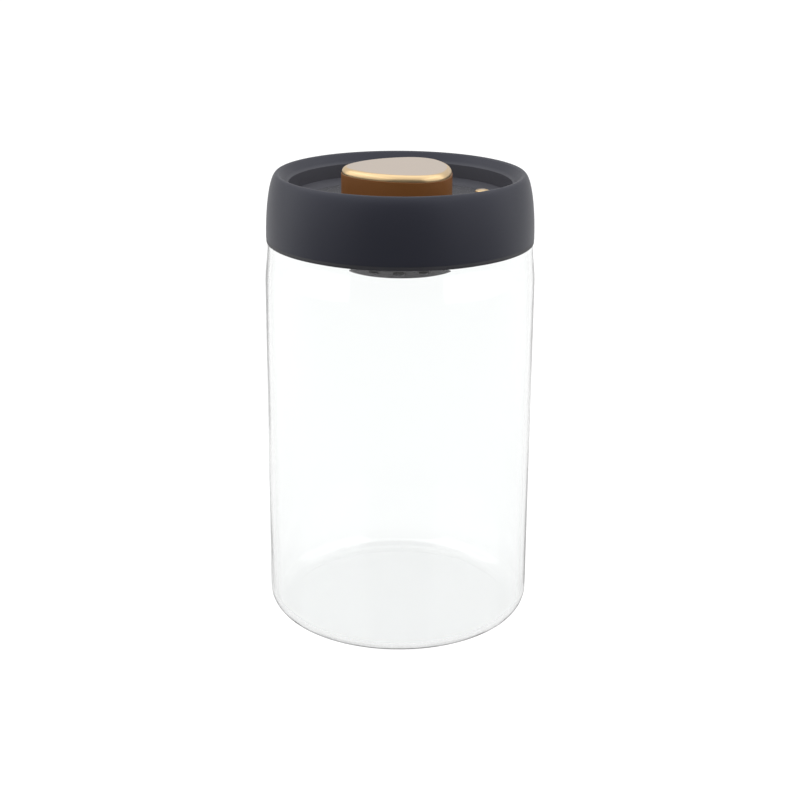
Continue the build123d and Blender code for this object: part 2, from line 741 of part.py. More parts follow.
# The release button: a small metal dome with a flange that stops it under the top plate
release_plane = Plane(origin=(release_place, 0, 0), x_dir=(1, 0, 0), z_dir=(0, -1, 0))
release_axis = Axis((release_place, 0, 0), (0, 0, 1))
with BuildPart() as release_button:
    with BuildSketch(release_plane):
        with BuildLine():
            shoulder = (button_radius - button_round, button_top - button_dome)
            TangentArc((0, button_top), shoulder, tangent=(1, 0))
            TangentArc(
                shoulder, (button_radius, button_top - button_dome - button_round), tangent=(1, 0)
            )
            Polyline(
                (button_radius, button_top - button_dome - button_round),
                (button_radius, plate_bottom),
                (button_flange_radius, plate_bottom),
                (button_flange_radius, button_flange_bottom),
                (stem_radius + thread_clearance, button_flange_bottom),
                (stem_radius + thread_clearance, stem_top),
                (0, stem_top),
                (0, button_top),
            )
        make_face()
    revolve(axis=release_axis)
release_button.part.label = "release_button"
export_step(release_button.part, "parts/release_button.step")

# The release stem: a cross-shaped pin that lets air past, with a round neck and a head that carry
# the silicone disc
with BuildPart() as release_stem:
    with BuildSketch(release_plane):
        square_ring(0, stem_head_radius, disc_bottom - stem_head_thickness, disc_bottom)
        square_ring(0, stem_radius, disc_bottom, lid_edge + stem_neck)
        square_ring(0, stem_radius, button_flange_bottom, stem_top)
    revolve(axis=release_axis)
    with BuildSketch(Plane.XY.offset(lid_edge)):
        with Locations((release_place, 0)):
            Rectangle(stem_radius * 2, stem_rib)
            Rectangle(stem_rib, stem_radius * 2)
            Circle(stem_radius, mode=Mode.INTERSECT)
    extrude(amount=button_flange_bottom - lid_edge)
release_stem.part.label = "release_stem"
export_step(release_stem.part, "parts/release_stem.step")

# The silicone disc that closes the air hole from below, with a raised lip at its edge
with BuildPart() as release_disc:
    with BuildSketch(release_plane):
        with BuildLine():
            Polyline(
                (stem_radius + thread_clearance, disc_bottom),
                (disc_radius - disc_lip, disc_bottom),
                (disc_radius, disc_bottom + disc_lip),
                (disc_radius, lid_edge),
                (disc_radius - disc_lip, lid_edge),
                (disc_radius - disc_lip * 2, lid_edge - disc_lip / 2),
                (stem_radius + thread_clearance, lid_edge - disc_lip / 2),
                (stem_radius + thread_clearance, disc_bottom),
            )
        make_face()
    revolve(axis=release_axis)
release_disc.part.label = "release_disc"
export_step(release_disc.part, "parts/release_disc.step")

# The spring that keeps the disc on its seat stands round the stem's guide
with BuildPart() as release_spring:
    release_gap = coil(
        release_coil_radius,
        release_wire,
        carrier_top,
        button_flange_bottom,
        release_turns,
        release_place,
    )
release_spring.part.label = "release_spring"
export_step(release_spring.part, "parts/release_spring.step")

# Four groups of screws: six hold the carrier in the shell, four the cylinder under the carrier, three
# the housing under the cylinder and three the knob's cap, skirt and plunger together
with BuildPart() as carrier_screws:
    with PolarLocations(carrier_screw_circle, carrier_screw_count):
        screw(
            carrier_screw_radius,
            carrier_screw_head_radius,
            carrier_screw_head_height,
            carrier_screw_length,
            lid_edge + carrier_screw_head_height,
        )
carrier_screws.part.label = "carrier_screws"
export_step(carrier_screws.part, "parts/carrier_screws.step")

with BuildPart() as cylinder_screws:
    with PolarLocations(cylinder_screw_circle, cylinder_screw_count, start_angle=post_turn / 2):
        screw(
            cylinder_screw_radius,
            cylinder_screw_head_radius,
            cylinder_screw_head_height,
            cylinder_screw_length,
            flange_bottom,
        )
cylinder_screws.part.label = "cylinder_screws"
export_step(cylinder_screws.part, "parts/cylinder_screws.step")

with BuildPart() as housing_screws:
    with PolarLocations(housing_screw_circle, housing_screw_count):
        screw(
            housing_screw_radius,
            housing_screw_head_radius,
            housing_screw_head_height,
            housing_screw_length,
            housing_bottom + housing_screw_head_height,
        )
housing_screws.part.label = "housing_screws"
export_step(housing_screws.part, "parts/housing_screws.step")

with BuildPart() as knob_screws:
    with PolarLocations(knob_screw_circle, knob_screw_count):
        screw(
            knob_screw_radius,
            knob_screw_head_radius,
            knob_screw_head_height,
            knob_screw_length,
            plunger_top - plunger_flange + knob_screw_head_height,
        )
knob_screws.part.label = "knob_screws"
export_step(knob_screws.part, "parts/knob_screws.step")

print("knob spring, least gap between turns:", round(knob_gap, 3))
print("release spring, least gap between turns:", round(release_gap, 3))
for winding, radius, wire, turns in (
    (knob_spring, knob_coil_radius, knob_wire, knob_turns),
    (release_spring, release_coil_radius, release_wire, release_turns),
):
    expected = pi * wire**2 / 4 * 2 * pi * radius * turns
    print(winding.part.label, "volume against section times length:", winding.part.volume / expected)
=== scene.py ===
import math

import bmesh
import bpy
from mathutils import Euler, Matrix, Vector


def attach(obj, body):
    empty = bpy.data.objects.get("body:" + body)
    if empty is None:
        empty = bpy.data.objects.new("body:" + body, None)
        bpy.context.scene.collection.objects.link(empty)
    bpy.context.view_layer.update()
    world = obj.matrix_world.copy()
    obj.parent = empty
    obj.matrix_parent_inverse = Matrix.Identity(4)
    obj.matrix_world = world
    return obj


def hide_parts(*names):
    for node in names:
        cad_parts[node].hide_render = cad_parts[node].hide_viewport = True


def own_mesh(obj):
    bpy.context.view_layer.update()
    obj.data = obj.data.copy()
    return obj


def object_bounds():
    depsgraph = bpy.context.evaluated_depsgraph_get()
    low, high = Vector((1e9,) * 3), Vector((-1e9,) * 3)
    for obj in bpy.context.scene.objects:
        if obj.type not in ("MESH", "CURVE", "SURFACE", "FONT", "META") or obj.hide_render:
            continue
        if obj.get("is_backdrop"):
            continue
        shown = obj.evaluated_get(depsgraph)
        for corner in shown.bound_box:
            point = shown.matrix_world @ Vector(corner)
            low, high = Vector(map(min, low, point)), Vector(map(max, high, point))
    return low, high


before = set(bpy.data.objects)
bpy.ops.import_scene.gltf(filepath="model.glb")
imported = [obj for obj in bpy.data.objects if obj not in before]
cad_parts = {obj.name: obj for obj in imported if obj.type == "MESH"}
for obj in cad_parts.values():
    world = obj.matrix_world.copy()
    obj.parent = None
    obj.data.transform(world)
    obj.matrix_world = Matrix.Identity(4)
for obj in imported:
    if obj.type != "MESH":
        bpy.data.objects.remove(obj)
cad_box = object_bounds()


# The jar is one even wall of blown borosilicate glass, drawn in a little at the neck, with a
# fire-polished rim and a shallow hollow under its foot. Blowing leaves faint waves down the wall,
# and hands leave faint smears on it.
def add_node(tree, kind, inputs=(), **settings):
    """Adds a node to a tree. Its inputs are values, or other nodes' sockets to link from."""
    node = tree.nodes.new(kind)
    for name, value in settings.items():
        setattr(node, name, value)
    for socket, value in dict(inputs).items():
        if isinstance(value, bpy.types.NodeSocket):
            tree.links.new(value, node.inputs[socket])
        else:
            node.inputs[socket].default_value = value
    return node


def effect_group(name, inputs, outputs):
    """Starts a shader node group with a place and these numbers as its inputs, and these outputs."""
    group = bpy.data.node_groups.new(name, "ShaderNodeTree")
    group.interface.new_socket("Place", in_out="INPUT", socket_type="NodeSocketVector")
    for socket, value in inputs.items():
        made = group.interface.new_socket(socket, in_out="INPUT", socket_type="NodeSocketFloat")
        made.default_value = value
    for socket in outputs:
        group.interface.new_socket(socket, in_out="OUTPUT", socket_type="NodeSocketFloat")
    return group, group.nodes.new("NodeGroupInput").outputs, group.nodes.new("NodeGroupOutput")


smear_group, given, result = effect_group("Smears", {"Size": 0.02, "Cover": 0.4}, ["Mask"])
per_size = add_node(smear_group, "ShaderNodeMath", {0: 1.0, 1: given["Size"]}, operation="DIVIDE")
cloud = add_node(
    smear_group,
    "ShaderNodeTexNoise",
    {"Vector": given["Place"], "Scale": per_size.outputs[0], "Detail": 5.0, "Distortion": 0.6},
)
clear = add_node(smear_group, "ShaderNodeMath", {0: 1.0, 1: given["Cover"]}, operation="SUBTRACT")
full = add_node(smear_group, "ShaderNodeMath", {0: clear.outputs[0], 1: 0.3}, operation="ADD")
smear = add_node(
    smear_group,
    "ShaderNodeMapRange",
    {"Value": cloud.outputs[0], "From Min": clear.outputs[0], "From Max": full.outputs[0]},
    interpolation_type="SMOOTHSTEP",
)
smear_group.links.new(smear.outputs[0], result.inputs["Mask"])


def effect(tree, group, **values):
    """Puts an effect into a material, with its place read from the object, and returns its outputs."""
    node = add_node(tree, "ShaderNodeGroup", node_tree=group)
    place = add_node(tree, "ShaderNodeTexCoord")
    tree.links.new(place.outputs["Object"], node.inputs["Place"])
    for socket, value in values.items():
        node.inputs[socket.replace("_", " ")].default_value = value
    return node.outputs


def new_finish(name, **values):
    """Makes a material with these values on its shader's sockets. Returns it, its tree and shader."""
    material = bpy.data.materials.new(name)
    material.use_nodes = True
    shader = material.node_tree.nodes["Principled BSDF"]
    for socket, value in values.items():
        shader.inputs[socket.replace("_", " ")].default_value = value
    return material, material.node_tree, shader


def between(tree, amount, low, high, socket):
    """Drives a socket from a low number to a high one as an amount goes from 0 to 1."""
    scaled = add_node(tree, "ShaderNodeMapRange", {"Value": amount, "To Min": low, "To Max": high})
    tree.links.new(scaled.outputs[0], socket)


def tinted(tree, amount, low, high, socket):
    """Drives a colour socket from one colour to another as an amount goes from 0 to 1."""
    blend = add_node(tree, "ShaderNodeMix", {"Factor": amount}, data_type="RGBA")
    for index, colour in ((6, low), (7, high)):
        blend.inputs[index].default_value = (*colour, 1)
    tree.links.new(blend.outputs[2], socket)


def raised(tree, height, depth, shader, strength=1.0):
    """Bumps a shader's surface by a height from 0 to 1 that stands for this depth in metres."""
    bump = add_node(tree, "ShaderNodeBump", {"Strength": strength, "Distance": depth, "Height": height})
    tree.links.new(bump.outputs[0], shader.inputs["Normal"])


jar_glass, tree, shader = new_finish(
    "Clear borosilicate",
    Base_Color=(0.965, 0.974, 0.972, 1),
    IOR=1.47,
    Transmission_Weight=1.0,
)
smears = effect(tree, smear_group, Size=0.03, Cover=0.42)
between(tree, smears["Mask"], 0.0, 0.035, shader.inputs["Roughness"])
place = add_node(tree, "ShaderNodeTexCoord")
drawn_out = add_node(tree, "ShaderNodeMapping", {"Vector": place.outputs["Object"], "Scale": (1, 1, 0.25)})
waves = add_node(tree, "ShaderNodeTexNoise", {"Vector": drawn_out.outputs[0], "Scale": 45.0, "Detail": 1.0})
raised(tree, waves.outputs[0], 0.0006, shader, 0.25)


def turned(name, outline, steps):
    """Turns a closed outline of (radius, height) points about the jar's axis into a smooth mesh."""
    shape = bmesh.new()
    rings = []
    for radius, height in outline:
        if radius == 0:
            rings.append([shape.verts.new((0, 0, height))] * steps)
            continue
        turns = [2 * math.pi * step / steps for step in range(steps)]
        rings.append(
            [shape.verts.new((radius * math.cos(turn), radius * math.sin(turn), height)) for turn in turns]
        )
    for low, high in zip(rings, rings[1:] + rings[:1]):
        for step in range(steps):
            after = (step + 1) % steps
            corners = list(dict.fromkeys((low[step], low[after], high[after], high[step])))
            if len(corners) > 2:
                shape.faces.new(corners)
    bmesh.ops.recalc_face_normals(shape, faces=shape.faces)
    mesh = bpy.data.meshes.new(name)
    shape.to_mesh(mesh)
    shape.free()
    mesh.shade_smooth()
    piece = bpy.data.objects.new(name, mesh)
    bpy.context.scene.collection.objects.link(piece)
    return piece


def arc(radius, height, size, start, end, steps):
    """Lists the points of an arc round a centre, from one angle to another in degrees."""
    angles = [math.radians(start + (end - start) * step / steps) for step in range(steps + 1)]
    return [(radius + size * math.cos(angle), height + size * math.sin(angle)) for angle in angles]


jar_radius = 0.055
jar_wall = 0.0024
jar_height = 0.1609
foot_round = 0.0088
hollow_radius = 0.042
hollow = 0.0006
neck_bottom = 0.143
neck_in = 0.0012
rim_round = 0.0006


def hollow_line(level):
    """Lists the points of the foot's shallow hollow, from the axis out, at a level."""
    shares = [step / 12 for step in range(13)]
    return [(hollow_radius * share, level + hollow * (1 - share**2)) for share in shares]


def neck_line(radius):
    """Lists the points of the neck's gentle S, upwards, for the outside or the inside."""
    rise = jar_height - rim_round - neck_bottom
    shares = [step / 16 for step in range(17)]
    return [
        (radius - neck_in * (1 - math.cos(math.pi * share)) / 2, neck_bottom + rise * share)
        for share in shares
    ]


rim_outside = jar_radius - neck_in - rim_round
rim_inside = jar_radius - neck_in - jar_wall + rim_round
outline = hollow_line(0)
outline += arc(jar_radius - foot_round, foot_round, foot_round, -90, 0, 28)
outline += neck_line(jar_radius)[:-1]
outline += arc(rim_outside, jar_height - rim_round, rim_round, 0, 90, 8)
outline += arc(rim_inside, jar_height - rim_round, rim_round, 90, 180, 8)
outline += neck_line(jar_radius - jar_wall)[-2::-1]
outline += arc(jar_radius - foot_round, foot_round, foot_round - jar_wall, 0, -90, 28)
outline += hollow_line(jar_wall)[::-1]
jar = turned("jar_wall", outline, 224)
jar.visible_shadow = False
jar.data.materials.append(jar_glass)
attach(jar, "jar")
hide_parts("glass_jar")


# The seal is one ring of soft black rubber, pushed into a groove round the lid: a flange that lies on
# the glass, a bead above it, a fin below it that centres the lid, and a thin skirt that hangs over
# the rim's outer edge.
grain_group, given, result = effect_group("Grain", {"Size": 0.0004}, ["Height", "Mottle"])
per_size = add_node(grain_group, "ShaderNodeMath", {0: 1.0, 1: given["Size"]}, operation="DIVIDE")
grain = add_node(
    grain_group,
    "ShaderNodeTexNoise",
    {"Vector": given["Place"], "Scale": per_size.outputs[0], "Detail": 2.0, "Roughness": 0.6},
)
coarse = add_node(grain_group, "ShaderNodeMath", {0: per_size.outputs[0], 1: 0.03}, operation="MULTIPLY")
mottle = add_node(
    grain_group,
    "ShaderNodeTexNoise",
    {"Vector": given["Place"], "Scale": coarse.outputs[0], "Detail": 3.0, "Roughness": 0.5},
)
spread = add_node(
    grain_group, "ShaderNodeMapRange", {"Value": mottle.outputs[0], "From Min": 0.3, "From Max": 0.7}
)
grain_group.links.new(grain.outputs[0], result.inputs["Height"])
grain_group.links.new(spread.outputs[0], result.inputs["Mottle"])

seal_rubber, tree, shader = new_finish("Soft black rubber")
skin = effect(tree, grain_group, Size=0.0003)
tinted(tree, skin["Mottle"], (0.026, 0.026, 0.032), (0.034, 0.034, 0.041), shader.inputs["Base Color"])
between(tree, skin["Height"], 0.45, 0.6, shader.inputs["Roughness"])
raised(tree, skin["Height"], 0.00002, shader, 0.5)

seal_top = 0.1618
seal_bottom = jar_height
seal_inside = 0.049
bead_inside, bead_outside, bead_top = 0.0495, 0.0507, seal_top + 0.0014
fin_inside, fin_outside, fin_bottom = 0.0499, 0.0509, seal_top - 0.0025
skirt_middle, skirt_round, skirt_low = 0.05407, 0.00015, seal_top - 0.0014
outline = [(seal_inside, seal_bottom), (fin_inside, seal_bottom), (fin_inside, fin_bottom)]
outline += [(fin_inside + 0.0005, fin_bottom), (fin_outside, fin_bottom + 0.0008), (fin_outside, seal_bottom)]
outline += [(skirt_middle - skirt_round, seal_bottom)]
outline += arc(skirt_middle, skirt_low, skirt_round, 180, 360, 6)
outline += arc(skirt_middle, seal_top - skirt_round, skirt_round, 0, 90, 3)
outline += [(bead_outside, seal_top), (bead_outside, bead_top), (bead_inside, bead_top)]
outline += [(bead_inside, seal_top), (seal_inside, seal_top)]
seal = turned("seal_ring", outline, 192)
seal.data.set_sharp_from_angle(angle=math.radians(40))
seal.data.materials.append(seal_rubber)
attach(seal, "lid")
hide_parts("rim_seal")


# The pump's two valves and the disc over the air hole are cut from clear, slightly milky silicone,
# and close by lying flat on their seats.
def dress(material, *names):
    """Gives the model's own pieces a material."""
    for name in names:
        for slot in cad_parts[name].material_slots:
            slot.material = material


silicone, tree, shader = new_finish("Clear silicone", IOR=1.41, Transmission_Weight=0.9)
silk = effect(tree, grain_group, Size=0.0003)
tinted(tree, silk["Mottle"], (0.78, 0.8, 0.82), (0.86, 0.87, 0.89), shader.inputs["Base Color"])
between(tree, silk["Height"], 0.2, 0.3, shader.inputs["Roughness"])
raised(tree, silk["Height"], 0.00002, shader, 0.5)
dress(silicone, "intake_valve", "exhaust_flap", "release_disc")


# The lid's shell is a charcoal moulding with a fine matt grain, a rounded lip and a dished top, whose
# hollow is painted paler: painted light on the dish's inner walls. A few specks of pale dust cling to it.
fleck_group, given, result = effect_group(
    "Flecks", {"Spacing": 0.005, "Reach": 0.05, "Share": 0.5}, ["Mask"]
)
per_spacing = add_node(fleck_group, "ShaderNodeMath", {0: 1.0, 1: given["Spacing"]}, operation="DIVIDE")
cells = add_node(
    fleck_group, "ShaderNodeTexVoronoi", {"Vector": given["Place"], "Scale": per_spacing.outputs[0]}
)
chances = add_node(fleck_group, "ShaderNodeSeparateColor", {"Color": cells.outputs["Color"]})
edge = add_node(fleck_group, "ShaderNodeMath", {0: given["Reach"], 1: 0.6}, operation="MULTIPLY")
near = add_node(
    fleck_group,
    "ShaderNodeMapRange",
    {
        "Value": cells.outputs["Distance"],
        "From Min": edge.outputs[0],
        "From Max": given["Reach"],
        "To Min": 1.0,
        "To Max": 0.0,
    },
)
chosen = add_node(
    fleck_group, "ShaderNodeMath", {0: chances.outputs[0], 1: given["Share"]}, operation="LESS_THAN"
)
both = add_node(
    fleck_group, "ShaderNodeMath", {0: near.outputs[0], 1: chosen.outputs[0]}, operation="MULTIPLY"
)
fleck_group.links.new(both.outputs[0], result.inputs["Mask"])


def speckled(tree, amount, low, high, mask, fleck, socket):
    """Drives a colour socket between two colours by an amount, with flecks of a third on top."""
    ground = add_node(tree, "ShaderNodeMix", {"Factor": amount}, data_type="RGBA")
    ground.inputs[6].default_value = (*low, 1)
    ground.inputs[7].default_value = (*high, 1)
    over = add_node(tree, "ShaderNodeMix", {"Factor": mask}, data_type="RGBA")
    tree.links.new(ground.outputs[2], over.inputs[6])
    over.inputs[7].default_value = (*fleck, 1)
    tree.links.new(over.outputs[2], socket)


charcoal, tree, shader = new_finish(
    "Charcoal moulding", Specular_IOR_Level=0.3, Specular_Tint=(0.88, 0.9, 1.0, 1)
)
skin = effect(tree, grain_group, Size=0.00035)
dust = effect(tree, fleck_group, Spacing=0.007, Reach=0.022, Share=0.3)
place = add_node(tree, "ShaderNodeTexCoord")
across = add_node(tree, "ShaderNodeMapping", {"Vector": place.outputs["Object"], "Scale": (1, 1, 0)})
reach = add_node(tree, "ShaderNodeVectorMath", {0: across.outputs[0]}, operation="LENGTH")
# Inside the dish's radius the colour turns paler: painted light in the dish's hollow.
painted_light_in_dish = add_node(
    tree, "ShaderNodeMapRange",
    {"Value": reach.outputs["Value"], "From Min": 0.0449, "From Max": 0.0464, "To Min": 1.0, "To Max": 0.0},
    interpolation_type="SMOOTHSTEP",
)
speckled(
    tree, painted_light_in_dish.outputs[0], (0.027, 0.028, 0.0395), (0.06, 0.061, 0.073),
    dust["Mask"], (0.2, 0.2, 0.21), shader.inputs["Base Color"],
)
between(tree, skin["Height"], 0.38, 0.48, shader.inputs["Roughness"])
raised(tree, skin["Height"], 0.00003, shader, 0.5)
dress(charcoal, "lid_shell")


# The plate on the dish's floor is moulded in the same charcoal with metal powder in it, which shows
# as a fine sparkle. Three pegs hold it.
sparkling, tree, shader = new_finish("Sparkling charcoal")
skin = effect(tree, grain_group, Size=0.0005)
powder = effect(tree, fleck_group, Spacing=0.00055, Reach=0.42, Share=0.22)
speckled(
    tree, skin["Mottle"], (0.044, 0.045, 0.052), (0.052, 0.053, 0.062),
    powder["Mask"], (0.3, 0.3, 0.33), shader.inputs["Base Color"],
)
between(tree, powder["Mask"], 0.55, 0.28, shader.inputs["Roughness"])
between(tree, powder["Mask"], 0.0, 0.6, shader.inputs["Metallic"])
raised(tree, skin["Height"], 0.00006, shader, 0.8)
dress(sparkling, "top_plate")


# The carrier, the pump's cylinder, its guide ring and its slotted cup are mouldings in a plain dark
# grey, a little glossier than the shell.
satin_grey, tree, shader = new_finish("Satin dark grey moulding")
skin = effect(tree, grain_group, Size=0.0006)
tinted(tree, skin["Mottle"], (0.032, 0.031, 0.035), (0.038, 0.037, 0.042), shader.inputs["Base Color"])
between(tree, skin["Height"], 0.34, 0.48, shader.inputs["Roughness"])
raised(tree, skin["Height"], 0.00002, shader, 0.5)
dress(satin_grey, "lid_carrier", "pump_cylinder", "plunger_guide", "pump_housing")


# The dust filter is a ring of open-cell foam, cut from a dark sheet and laid in the cup behind its
# air slots.
foam, tree, shader = new_finish("Open-cell foam", Roughness=0.95)
place = add_node(tree, "ShaderNodeTexCoord")
cells = add_node(
    tree, "ShaderNodeTexVoronoi",
    {"Vector": place.outputs["Object"], "Scale": 1400.0}, feature="DISTANCE_TO_EDGE",
)
# The pores are painted near-black towards their middles, darker than the struts: painted shade in the pores,
# on top of their bumped relief.
pore_relief_and_shade = add_node(
    tree, "ShaderNodeMapRange", {"Value": cells.outputs["Distance"], "From Min": 0.0, "From Max": 0.25}
)
tinted(tree, pore_relief_and_shade.outputs[0], (0.13, 0.13, 0.13), (0.012, 0.012, 0.012), shader.inputs["Base Color"])
hole = add_node(tree, "ShaderNodeMath", {0: 1.0, 1: pore_relief_and_shade.outputs[0]}, operation="SUBTRACT")
raised(tree, hole.outputs[0], 0.0003, shader)
dress(foam, "dust_filter")


# The plunger and the release stem are turned from natural white acetal, and slide dry in the pump's
# guide and in the carrier.
acetal, tree, shader = new_finish("White acetal", Subsurface_Weight=0.1, Subsurface_Scale=0.001)
place = add_node(tree, "ShaderNodeTexCoord")
tool_marks = add_node(
    tree,
    "ShaderNodeTexWave",
    {"Vector": place.outputs["Object"], "Scale": 900.0, "Distortion": 0.6, "Detail": 1.0},
    bands_direction="Z",
)
tone = effect(tree, grain_group, Size=0.0008)
tinted(tree, tone["Mottle"], (0.76, 0.76, 0.73), (0.83, 0.83, 0.8), shader.inputs["Base Color"])
between(tree, tool_marks.outputs["Fac"], 0.28, 0.4, shader.inputs["Roughness"])
raised(tree, tool_marks.outputs["Fac"], 0.00001, shader, 0.4)
dress(acetal, "plunger", "release_stem")


# The plunger's ring is smooth black rubber with a film of grease, stretched into a groove round the
# plunger.
black_rubber, tree, shader = new_finish("Greased black rubber", Coat_Roughness=0.2)
film = effect(tree, smear_group, Size=0.003, Cover=0.5)
tinted(tree, film["Mask"], (0.018, 0.018, 0.018), (0.028, 0.027, 0.025), shader.inputs["Base Color"])
between(tree, film["Mask"], 0.55, 0.3, shader.inputs["Roughness"])
between(tree, film["Mask"], 0.0, 0.5, shader.inputs["Coat Weight"])
dress(black_rubber, "plunger_ring")


# The knob's spring and the release button's are wound from drawn stainless wire. Each stands on a
# seat in the lid.
wire, tree, shader = new_finish("Drawn stainless wire", Metallic=1.0)
drawn = effect(tree, grain_group, Size=0.00025)
tinted(tree, drawn["Mottle"], (0.5, 0.5, 0.51), (0.6, 0.6, 0.6), shader.inputs["Base Color"])
between(tree, drawn["Height"], 0.18, 0.42, shader.inputs["Roughness"])


def coiled(node):
    """Makes a merged, smooth copy of a spring in the wire finish and fixes it to the lid."""
    shape = bmesh.new()
    shape.from_mesh(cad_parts[node].data)
    bmesh.ops.remove_doubles(shape, verts=shape.verts, dist=0.000001)
    mesh = bpy.data.meshes.new(node)
    shape.to_mesh(mesh)
    shape.free()
    mesh.materials.append(wire)
    mesh.shade_smooth()
    mesh.set_sharp_from_angle(angle=math.radians(40))
    piece = bpy.data.objects.new(f"{node}_coil", mesh)
    bpy.context.scene.collection.objects.link(piece)
    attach(piece, "lid")
    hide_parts(node)
    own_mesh(piece)


coiled("knob_spring")
coiled("release_spring")


# Four sizes of pan-headed screw with a cross recess and a rolled thread, in bright zinc-plated
# steel: six hold the carrier in the shell, four the cylinder, three the cup and three the knob.
zinc, tree, shader = new_finish("Bright zinc plate", Metallic=1.0)
plate = effect(tree, grain_group, Size=0.0005)
tinted(tree, plate["Mottle"], (0.5, 0.51, 0.53), (0.6, 0.6, 0.6), shader.inputs["Base Color"])
between(tree, plate["Height"], 0.2, 0.36, shader.inputs["Roughness"])
raised(tree, plate["Height"], 0.00001, shader, 0.4)

screw_tree = bpy.data.node_groups.new("Screws on a circle", "GeometryNodeTree")
screw_sizes = {
    "Shank Radius": 0.0012,
    "Head Radius": 0.0023,
    "Head Height": 0.001,
    "Length": 0.009,
    "Pitch": 0.0008,
    "Circle": 0.046,
    "Seat": 0.1628,
    "Start": 0.0,
}
screw_tree.interface.new_socket("Geometry", in_out="OUTPUT", socket_type="NodeSocketGeometry")
for socket, value in screw_sizes.items():
    made = screw_tree.interface.new_socket(socket, in_out="INPUT", socket_type="NodeSocketFloat")
    made.default_value = value
screw_tree.interface.new_socket("Count", in_out="INPUT", socket_type="NodeSocketInt").default_value = 6
given = screw_tree.nodes.new("NodeGroupInput").outputs


def worked(operation, first, second):
    """Works out one size of the screw from two others."""
    return add_node(screw_tree, "ShaderNodeMath", {0: first, 1: second}, operation=operation).outputs[0]


def lifted(geometry, height, turn=None):
    """Moves a piece of the screw to its height, turned about its axis if a turn is given."""
    offset = add_node(screw_tree, "ShaderNodeCombineXYZ", {"Z": height})
    moved = add_node(
        screw_tree, "GeometryNodeTransform", {"Geometry": geometry, "Translation": offset.outputs[0]}
    )
    if turn is not None:
        spin = add_node(screw_tree, "ShaderNodeCombineXYZ", {"Z": turn})
        screw_tree.links.new(spin.outputs[0], moved.inputs["Rotation"])
    return moved.outputs[0]


half_head = worked("MULTIPLY", given["Head Height"], 0.5)
rim = add_node(
    screw_tree, "GeometryNodeMeshCylinder",
    {"Vertices": 36, "Radius": given["Head Radius"], "Depth": half_head},
)
crown = add_node(
    screw_tree, "GeometryNodeMeshCone",
    {
        "Vertices": 36, "Radius Top": given["Head Radius"],
        "Radius Bottom": worked("MULTIPLY", given["Head Radius"], 0.74), "Depth": half_head,
    },
)
head = add_node(screw_tree, "GeometryNodeMeshBoolean", operation="UNION")
screw_tree.links.new(lifted(rim.outputs[0], worked("MULTIPLY", half_head, -0.48)), head.inputs["Mesh 2"])
screw_tree.links.new(lifted(crown.outputs[0], worked("MULTIPLY", half_head, -1.0)), head.inputs["Mesh 2"])
slot_long = worked("MULTIPLY", given["Head Radius"], 1.25)
slot_short = worked("MULTIPLY", given["Head Radius"], 0.3)
recess = add_node(
    screw_tree, "GeometryNodeMeshBoolean", {"Mesh 1": head.outputs[0]}, operation="DIFFERENCE"
)
for long_side, short_side in ((slot_long, slot_short), (slot_short, slot_long)):
    size = add_node(
        screw_tree, "ShaderNodeCombineXYZ", {"X": long_side, "Y": short_side, "Z": given["Head Height"]}
    )
    bar = add_node(screw_tree, "GeometryNodeMeshCube", {"Size": size.outputs[0]})
    screw_tree.links.new(
        lifted(bar.outputs[0], worked("MULTIPLY", given["Head Height"], -1.1)), recess.inputs["Mesh 2"]
    )
core = worked("MULTIPLY", given["Shank Radius"], 0.8)
tip = worked("MULTIPLY", given["Shank Radius"], 1.2)
straight = worked("SUBTRACT", given["Length"], tip)
shank = add_node(
    screw_tree, "GeometryNodeMeshCylinder", {"Vertices": 24, "Radius": core, "Depth": straight}
)
point = add_node(
    screw_tree, "GeometryNodeMeshCone",
    {"Vertices": 24, "Radius Top": worked("MULTIPLY", core, 0.35), "Radius Bottom": core, "Depth": tip},
)
helix = add_node(
    screw_tree, "GeometryNodeCurveSpiral",
    {
        "Resolution": 20, "Rotations": worked("DIVIDE", straight, given["Pitch"]),
        "Start Radius": core, "End Radius": core, "Height": straight,
    },
)
ridge = add_node(
    screw_tree, "GeometryNodeCurvePrimitiveCircle",
    {"Resolution": 3, "Radius": worked("SUBTRACT", given["Shank Radius"], core)},
)
thread = add_node(
    screw_tree, "GeometryNodeCurveToMesh",
    {"Curve": helix.outputs[0], "Profile Curve": ridge.outputs[0], "Fill Caps": True},
)
whole = add_node(screw_tree, "GeometryNodeJoinGeometry")
for piece in (
    recess.outputs[0],
    lifted(shank.outputs[0], worked("MULTIPLY", straight, 0.5)),
    lifted(point.outputs[0], straight),
    thread.outputs[0],
):
    screw_tree.links.new(piece, whole.inputs[0])
smooth = add_node(screw_tree, "GeometryNodeSetShadeSmooth", {"Geometry": whole.outputs[0]}, domain="FACE")
ring = add_node(
    screw_tree, "GeometryNodeMeshCircle", {"Vertices": given["Count"], "Radius": given["Circle"]}
)
stood = lifted(ring.outputs[0], given["Seat"], given["Start"])
copies = add_node(
    screw_tree, "GeometryNodeInstanceOnPoints", {"Points": stood, "Instance": smooth.outputs[0]}
)
real = add_node(screw_tree, "GeometryNodeRealizeInstances", {"Geometry": copies.outputs[0]})
plated = add_node(screw_tree, "GeometryNodeSetMaterial", {"Geometry": real.outputs[0], "Material": zinc})
screw_tree.links.new(plated.outputs[0], screw_tree.nodes.new("NodeGroupOutput").inputs[0])

